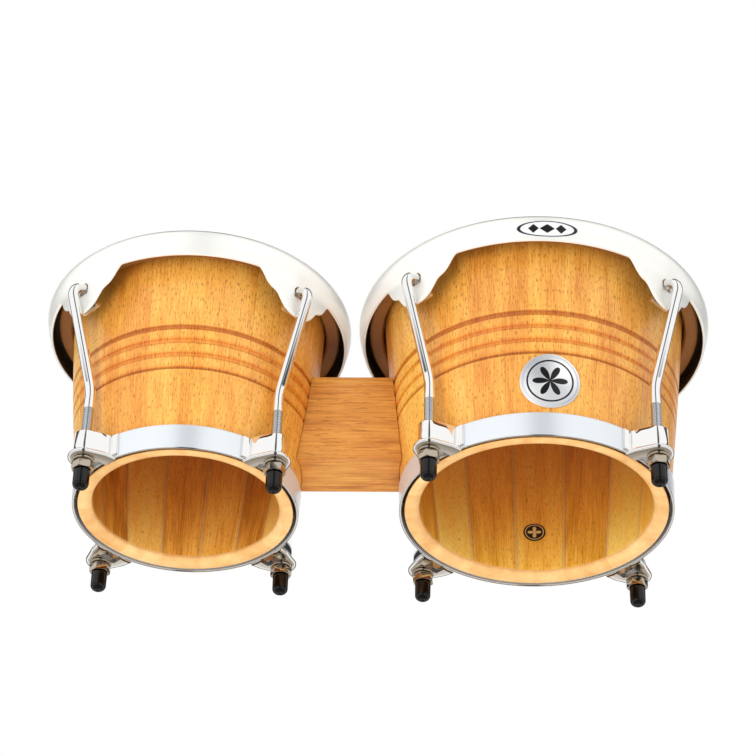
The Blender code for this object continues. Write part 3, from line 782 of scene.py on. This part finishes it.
def rodMaster():  # straight through the lug, out to the rim, hooked inward over its tongue
    s = rodSizes
    lean = math.atan2(s["lean"], s["hook"] - s["bend"])
    bendRadius = s["ease"] / math.tan(lean / 2)
    top = Vector((s["lean"], 0, s["hook"]))
    centre = top + s["hookRadius"] * Vector((-math.cos(lean), 0, math.sin(lean)))
    leaned = Vector((math.sin(lean), 0, math.cos(lean)))
    start = Vector((s["ease"] * math.sin(lean), 0, s["bend"] + s["ease"] * math.cos(lean)))
    deselectAll()
    slim, chamfer, runOut = s["threadRadius"], s["chamfer"], s["runOut"]
    bpy.ops.mesh.primitive_circle_add(vertices=s["sides"], radius=slim - chamfer,
                                      fill_type="NGON", location=(0, 0, s["low"]))
    piece = bpy.context.active_object
    piece.name = "tuning_rod"
    bpy.ops.object.transform_apply(location=True)
    bpy.ops.object.mode_set(mode="EDIT")
    selectAll()

    def grow(step, scale=1.0):
        bpy.ops.mesh.extrude_region_move(TRANSFORM_OT_translate={"value": step})
        if scale != 1.0:
            bpy.ops.transform.resize(value=(scale, scale, 1))

    grow((0, 0, chamfer), slim / (slim - chamfer))
    grow((0, 0, s["threadTop"] - runOut - s["low"] - chamfer))
    grow((0, 0, runOut), s["radius"] / slim)
    grow((0, 0, s["bend"] - s["ease"] - s["threadTop"]))
    bpy.ops.mesh.spin(steps=8, angle=-lean, center=(bendRadius, 0, s["bend"] - s["ease"]), axis=(0, 1, 0))
    grow(tuple(leaned * (top - start).length))
    bpy.ops.mesh.spin(steps=26, angle=math.pi + lean, center=tuple(centre), axis=(0, 1, 0))
    grow((0, 0, s["tail"] - centre.z))
    makeWhole()
    half, corner = s["pinLength"] / 2, s["pinRadius"] - chamfer
    pin = turnedPiece("cross_pin", [(0, -half)] + arc((corner, -half + chamfer), chamfer, -90, 0, 3)
                      + arc((corner, half - chamfer), chamfer, 0, 90, 3) + [(0, half)], 28)
    pin.data.transform(Matrix.Translation((centre.x - s["hookRadius"], 0, s["tail"]))
                       @ Matrix.Rotation(math.pi / 2, 4, "X"))
    cutWith(piece, pin, "UNION")
    shade(piece, 35)
    for polygon in piece.data.polygons:
        polygon.material_index = 1 if polygon.center.z < s["threadTop"] - 0.0007 else 0
    return piece


def nutMaster():  # a hexagon chamfered at both ends, bored for the rod
    low, high, flats, hole, edge, mouth = -0.0102, -0.0045, 0.0123, 0.0037, 0.0006, 0.0007
    corner = flats / 2 / math.cos(math.pi / 6)
    deselectAll()
    bpy.ops.mesh.primitive_cylinder_add(vertices=6, radius=corner, depth=high - low)
    piece = bpy.context.active_object
    piece.name = "hex_nut"
    piece.data.transform(Matrix.Translation((0, 0, (high + low) / 2)))
    rounding = turnedPiece("chamfer", [
        (0, low), (flats / 2 - 0.0001, low), (corner + 0.0001, low + edge),
        (corner + 0.0001, high - edge), (flats / 2 - 0.0001, high), (0, high)], 72)
    cutWith(piece, rounding, "INTERSECT")
    bore = turnedPiece("bore", [
        (0, low - 0.001), (hole + mouth, low - 0.001), (hole, low + edge),
        (hole, high - edge), (hole + mouth, high + 0.001), (0, high + 0.001)], 40)
    cutWith(piece, bore)
    applyModifier(piece, "BEVEL", {"width": 0.00018, "segments": 2, "limit_method": "ANGLE",
                                   "angle_limit": math.radians(25)})
    shade(piece, 30)
    return piece


def washerMaster():  # a thick washer with a domed edge
    low, high, outer, hole = -0.0042, -0.0027, 0.0073, 0.0039
    profile = [(hole, low + 0.0002), (hole + 0.0002, low), (outer - 0.0010, low)]
    profile += arc((outer - 0.0008, low + 0.0008), 0.0008, -90, 0, 6)
    profile += [(outer, high - 0.0003), (outer - 0.0003, high), (hole + 0.0002, high),
                (hole, high - 0.0002)]
    return turnedPiece("washer", profile + [profile[0]], 64)


def capMaster():  # moulded cap: open end with a small bead, blunt rounded tip with a dimple
    radius, high, bore, floor, tip = 0.0053, -0.0106, 0.0038, -0.0197, -capTip
    profile = [(0, floor), (bore, floor), (bore, high - 0.0003), (bore + 0.0003, high)]
    profile += arc((radius - 0.0005, high - 0.0005), 0.0005, 90, 0, 5)
    profile += [(radius, high - 0.0012), (radius - 0.00005, high - 0.0050)]
    profile += arc((radius - 0.0038, tip + 0.0037), 0.0037, 0, -84, 12)
    profile += [(0.0011, tip), (0.0008, tip + 0.0001), (0.0005, tip + 0.0004), (0, tip + 0.0005)]
    return turnedPiece("rubber_cap", profile, 56)


def placeHardware():
    rod, nut, washer, cap = rodMaster(), nutMaster(), washerMaster(), capMaster()
    nutTurns = {"front_left": 4, "front_right": 22, "back_right": 40, "back_left": 31}
    for name, drum in drums.items():
        bracket = bracketMaster(drum)
        for lug, lugAngle in lugs.items():
            turn = lugAngle + drum["turn"]
            seat = onDrum(drum, turn, drum["lugRadius"])
            spun = seat @ Matrix.Rotation(math.radians(nutTurns[lug]), 4, "Z")
            fixed, drawn, turned = "shells_and_block", f"{name}_tension_set", f"{name}_nut_{lug}_body"
            for master, place, title, node, body, slotName, *materials in (
                    (bracket, onDrum(drum, turn), "pressed_lug", "lug_bracket", fixed,
                     "chrome_steel", chromePlate),
                    (rod, seat, "bent_rod", "tuning_rod", drawn, "chrome_steel", chromePlate, threadPlate),
                    (washer, seat, "domed_washer", "washer", fixed, "nickel_hardware", nickelPlate),
                    (nut, spun, "hex_nut", "nut", turned, "nickel_hardware", nickelPlate),
                    (cap, seat, "moulded_cap", "rubber_cap", drawn, "rubber_cap", blackRubber)):
                finishPiece(copyOf(master, f"{name}_{title}_{lug}", place), body, slotName,
                            [f"{name}_{node}_{lug}"], *materials)
        bpy.data.objects.remove(bracket, do_unlink=True)
    for master in (rod, nut, washer, cap):
        bpy.data.objects.remove(master, do_unlink=True)


for drumName, drumSize in drums.items():
    makeHead(drumName, drumSize)
    makeRim(drumName, drumSize)
    makeBand(drumName, drumSize)
print("heads, rims and hoops made")
placeHardware()
print("hardware placed")


def makeScrews():  # pan heads with a cross recess, seen from inside the shells
    s = screwSizes
    for name, drum in drums.items():
        length = drum["wall"] - s["sink"] + s["intoBlock"]
        profile = [(0, -s["tall"]), (s["head"] * 0.55, -s["tall"] + 0.0001)]
        profile += flowing([(s["head"] * 0.8, -s["tall"] * 0.85), (s["head"] * 0.95, -s["tall"] * 0.5),
                            (s["head"], -0.0003)], 3)
        profile += [(s["head"] - 0.0002, 0), (s["shaft"], 0), (s["shaft"], length - 0.004), (0, length)]
        screw = turnedPiece("pan_screw", profile, 48)
        for turn in (0, 90):
            place = Matrix.Rotation(math.radians(turn), 4, "Z") @ Matrix.Translation((0, 0, -s["tall"]))
            cutWith(screw, makeBox("blade", place, s["recess"]))
        shade(screw, 35)
        for level, height in s["heights"].items():
            finishPiece(copyOf(screw, f"{name}_pan_screw_{level}", screwSeat(drum, height)),
                        "shells_and_block", "screw_steel", [f"{name}_block_screw_{level}"], nickelPlate)
        bpy.data.objects.remove(screw, do_unlink=True)


makeScrews()

# The hoops that the hides are lapped round stay as the CAD nodes, in plain steel.
hoopSteel = plated("bright steel wire", "#C9C4BA", 0.3)
for drumName in drums:
    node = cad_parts[f"{drumName}_flesh_hoop"]
    node.data.materials.clear()
    node.data.materials.append(hoopSteel)


# Badge, label and rim sticker, all with plain ornament.

def curvedDisc(name, drum, wallRadius, wide, tall, height, azimuth, outward, rings, segments=72):
    # Rings of (share of the half sizes, thickness) bent to a wall, with a flat UV map.
    bm = bmesh.new()
    uv = bm.loops.layers.uv.new("face")
    flat = {}

    def spot(along, up, depth):
        z = height + up * tall
        wall = wallRadius(z) + outward * (0.0004 + depth)
        angle = math.radians(azimuth) + along * wide / wall
        vertex = bm.verts.new((wall * math.cos(angle), wall * math.sin(angle), z))
        flat[vertex] = (0.5 + along / 2, 0.5 + up / 2)
        return vertex

    rows = []
    for share, depth in rings:
        rows.append([spot(share * math.cos(math.tau * step / segments),
                          share * math.sin(math.tau * step / segments), depth)
                     for step in range(segments)])
    hub = spot(0, 0, rings[0][1])
    base = spot(0, 0, 0.0)
    faces = []
    for step in range(segments):
        after = (step + 1) % segments
        faces.append(bm.faces.new((hub, rows[0][step], rows[0][after])))
        for lower, upper in zip(rows, rows[1:]):
            faces.append(bm.faces.new((lower[step], upper[step], upper[after], lower[after])))
        faces.append(bm.faces.new((base, rows[-1][after], rows[-1][step])))
    for face in faces:
        for loop in face.loops:
            loop[uv].uv = flat[loop.vert]
    piece = pieceFrom(bm, name)
    piece.data.transform(onDrum(drum))
    shade(piece, 40)
    return piece


def discPlace(tree):  # the disc's own UV map, from -1 to 1 across it
    face = addNode(tree, "ShaderNodeUVMap", {"uv_map": "face"}).outputs[0]
    return mapped(tree, face, (2, 2, 1), (-1, -1, 0))


def lengthOf(tree, vector):
    return addNode(tree, "ShaderNodeVectorMath", {"operation": "LENGTH", 0: vector}).outputs["Value"]


def dotWith(tree, vector, fixed):
    return addNode(tree, "ShaderNodeVectorMath",
                   {"operation": "DOT_PRODUCT", 0: vector, 1: fixed}).outputs["Value"]


def ornament(tree, petals, size, ringIn, ringOut):
    # Mask of a plain rosette inside a ring, and the angle round the disc.
    centred = discPlace(tree)
    parts = axesOf(tree, centred)
    angle = maths(tree, "ARCTAN2", parts["Y"], parts["X"])
    radius = lengthOf(tree, centred)
    wave = maths(tree, "COSINE", maths(tree, "MULTIPLY", angle, petals / 2))
    reach = maths(tree, "MULTIPLY", maths(tree, "ABSOLUTE", wave), size)
    flower = maths(tree, "LESS_THAN", radius, reach)
    ring = maths(tree, "MULTIPLY", maths(tree, "LESS_THAN", radius, ringOut),
                 maths(tree, "GREATER_THAN", radius, ringIn))
    return maths(tree, "MAXIMUM", flower, ring), angle


def badgeMetal():
    # Spun aluminium badge: fine turning rings, with the fan of light they throw put into the silver as a
    # painted highlight; black enamel ornament.
    material, tree, surface = newMaterial("spun aluminium badge", {"Roughness": 0.28})
    mask, angle = ornament(tree, 6, 0.58, 0.72, 0.78)
    paintedFanSheen = maths(tree, "SINE", maths(tree, "MULTIPLY", angle, 2.0))
    silverAndSheen = ramped(tree, ranged(tree, paintedFanSheen, -1.0, 1.0), (0.0, "#CFD1D5"), (1.0, "#FFFFFF"))
    setColour(tree, surface, blended(tree, mask, silverAndSheen, "#0C0C0D"))
    tree.links.new(maths(tree, "MULTIPLY_ADD", mask, -0.55, 0.55), surface.inputs["Metallic"])
    return material


def printedLabel():
    # Black varnished paper label with a pale printed ornament.
    material, tree, surface = newMaterial("printed label", {"Roughness": 0.4, "IOR": 1.5})
    setColour(tree, surface, blended(tree, ornament(tree, 4, 0.62, 0.78, 0.86)[0], "#120E0B", "#D9B071"))
    return material


def rimSticker():
    # Metallised oval sticker: black keyline and three plain lozenges on a pale silver ground.
    material, tree, surface = newMaterial("metallised sticker", {"Roughness": 0.3, "IOR": 1.5})
    centred = discPlace(tree)
    mask = ramped(tree, lengthOf(tree, centred), (0.0, "#000000"), (0.80, "#000000"),
                  (0.83, "#FFFFFF"), (0.91, "#FFFFFF"), (0.94, "#000000"))
    for middle, wide in ((-0.42, 0.17), (0.0, 0.24), (0.42, 0.17)):
        moved = mapped(tree, centred, (1 / wide, 1.9, 1), (-middle / wide, 0, 0))
        size = addNode(tree, "ShaderNodeVectorMath", {"operation": "ABSOLUTE", 0: moved}).outputs[0]
        lozenge = ranged(tree, dotWith(tree, size, (1, 1, 0)), 0.94, 1.02, 1.0, 0.0)
        mask = maths(tree, "MAXIMUM", mask, lozenge)
    setColour(tree, surface, blended(tree, mask, "#E4E5E6", "#141414"))
    return material


hembra = drums["hembra"]
badge = curvedDisc(
    "round_badge", hembra, lambda z: shellRadius(hembra, z), wide=0.0193, tall=0.0193,
    height=0.0402, azimuth=-85.7, outward=1,
    rings=[(0.3, 0.0005), (0.6, 0.0005), (0.86, 0.00045), (0.90, 0.0004), (0.93, 0.00065),
           (0.965, 0.0008), (0.99, 0.0007), (1.0, 0.0004), (1.0, 0.0)])
finishPiece(badge, "shells_and_block", "badge_metal", ["badge"], badgeMetal())
label = curvedDisc(
    "round_label", hembra, lambda z: shellRadius(hembra, z) - hembra["wall"], wide=0.0075,
    tall=0.0075, height=0.0370, azimuth=89.1, outward=-1,
    rings=[(0.5, 0.0003), (0.9, 0.0003), (0.98, 0.00027), (1.0, 0.0002), (1.0, 0.0)])
finishPiece(label, "shells_and_block", "label", ["inner_label"], printedLabel())
sticker = curvedDisc(
    "rim_sticker", hembra, lambda z: hembra["rimRadius"] + flare(z) - 0.0003, wide=0.0213,
    tall=0.0060, height=0.1420, azimuth=-87.1, outward=1,
    rings=[(0.25, 0.0001), (0.5, 0.0001), (0.75, 0.0001), (0.9, 0.0001), (1.0, 0.00008), (1.0, 0.0)])
finishPiece(sticker, "hembra_tension_set", "label", [], rimSticker())
print("badge, label and sticker made")


# Camera, light and floor.

view = {"place": (0.0576, -1.3568, -0.8697), "toward": (-0.0333, 0.8039, 0.5938),
        "roll": 0.0284, "lens": 119.15}


def setCamera():
    deselectAll()
    bpy.ops.object.camera_add(location=view["place"])
    camera = bpy.context.active_object
    forward = Vector(view["toward"]).normalized()
    right = forward.cross(Vector((0, 0, 1))).normalized()
    up = right.cross(forward)
    roll = view["roll"]
    across = math.cos(roll) * right + math.sin(roll) * up
    upright = -math.sin(roll) * right + math.cos(roll) * up
    turn = Matrix((across, upright, -forward)).transposed().to_4x4()
    camera.matrix_world = Matrix.Translation(view["place"]) @ turn
    camera.data.lens = view["lens"]
    camera.data.sensor_width = 36
    camera.data.clip_end = 20
    bpy.context.scene.camera = camera


def setWorld():
    # A white studio. What chrome mirrors has more in it: a dark ring round the backdrop, which
    # gives thin dark edges, a dark flag straight in front, a dark horizon and a warm grey below.
    world = bpy.data.worlds.new("studio")
    bpy.context.scene.world = world
    world.use_nodes = True
    tree = world.node_tree
    tree.nodes.clear()
    place = addNode(tree, "ShaderNodeTexCoord", {}).outputs["Generated"]
    toward = maths(tree, "MULTIPLY_ADD", dotWith(tree, place, view["toward"]), 0.5, 0.5)
    ring = ramped(tree, toward, (0.0, "#FFFFFF"), (0.740, "#FFFFFF"), (0.790, "#5A5C60"),
                  (0.925, "#2A2B2E"), (0.950, "#FFFFFF"))
    parts = axesOf(tree, place)
    level = ramped(tree, maths(tree, "MULTIPLY_ADD", parts["Z"], 0.5, 0.5),
                   (0.0, "#8C8378"), (0.20, "#A89E92"), (0.30, "#FFFDF8"), (0.46, "#FFFFFF"),
                   (0.48, "#4C4E52"), (0.54, "#4C4E52"), (0.57, "#FFFFFF"))
    angle = maths(tree, "ARCTAN2", parts["Y"], parts["X"])
    flag = {"azimuth": -86, "dark": 7, "faded": 13}  # degrees: middle, and half widths
    aside = maths(tree, "ABSOLUTE", maths(tree, "SUBTRACT", angle, math.radians(flag["azimuth"])))
    strip = ranged(tree, aside, math.radians(flag["dark"]), math.radians(flag["faded"]), 1.0, 0.0)
    flagged = blended(tree, strip, ring, "#54585E")
    whole = blended(tree, 1.0, flagged, level, "MULTIPLY")
    white = (1, 1, 1, 1)
    mirrored = addNode(tree, "ShaderNodeBackground", {"Strength": 1.02, "Color": whole})
    lighting = addNode(tree, "ShaderNodeBackground", {"Strength": 0.9, "Color": white})
    backdrop = addNode(tree, "ShaderNodeBackground", {"Strength": 1.0, "Color": white})
    path = addNode(tree, "ShaderNodeLightPath", {}).outputs
    inner = addNode(tree, "ShaderNodeMixShader", {0: path["Is Glossy Ray"], 1: lighting.outputs[0],
                                                  2: mirrored.outputs[0]})
    both = addNode(tree, "ShaderNodeMixShader", {0: path["Is Camera Ray"], 1: inner.outputs[0],
                                                 2: backdrop.outputs[0]})
    addNode(tree, "ShaderNodeOutputWorld", {"Surface": both.outputs[0]})


def addLight(name, place, target, size, power):
    deselectAll()
    bpy.ops.object.light_add(type="AREA", location=place)
    light = bpy.context.active_object
    light.name = name
    light.data.shape = "DISK"
    light.data.size = size
    light.data.energy = power
    light.visible_glossy = False
    aim = Vector(target) - Vector(place)
    light.matrix_world = Matrix.Translation(place) @ aim.to_track_quat("-Z", "Y").to_matrix().to_4x4()


def layFloor():
    # A pale floor seen only from above: from below it is clear, so the low camera sees through it.
    deselectAll()
    bpy.ops.mesh.primitive_plane_add(size=8, location=(0, 0, 0))
    floor = bpy.context.active_object
    floor.name = "studio_floor"
    material, tree, surface = newMaterial("pale studio floor", {
        "Base Color": colour("#ECEBE8"), "Roughness": 0.8})
    side = addNode(tree, "ShaderNodeNewGeometry", {})
    clear = addNode(tree, "ShaderNodeBsdfTransparent", {})
    both = addNode(tree, "ShaderNodeMixShader", {0: side.outputs["Backfacing"],
                                                 1: surface.outputs[0], 2: clear.outputs[0]})
    tree.links.new(both.outputs[0], tree.nodes["Material Output"].inputs["Surface"])
    floor.data.materials.append(material)
    floor.visible_diffuse = False
    floor.visible_glossy = False
    floor.visible_transmission = False
    floor.visible_shadow = False


setCamera()
setWorld()
addLight("soft key", (-0.55, -1.3, -0.35), (0, 0, 0.08), size=0.9, power=8.0)
addLight("fill from below", (0.05, -0.35, -1.05), (0, 0.03, 0.08), size=0.8, power=6.0)
layFloor()
bpy.context.scene.view_settings.view_transform = "Standard"
print("studio ready")
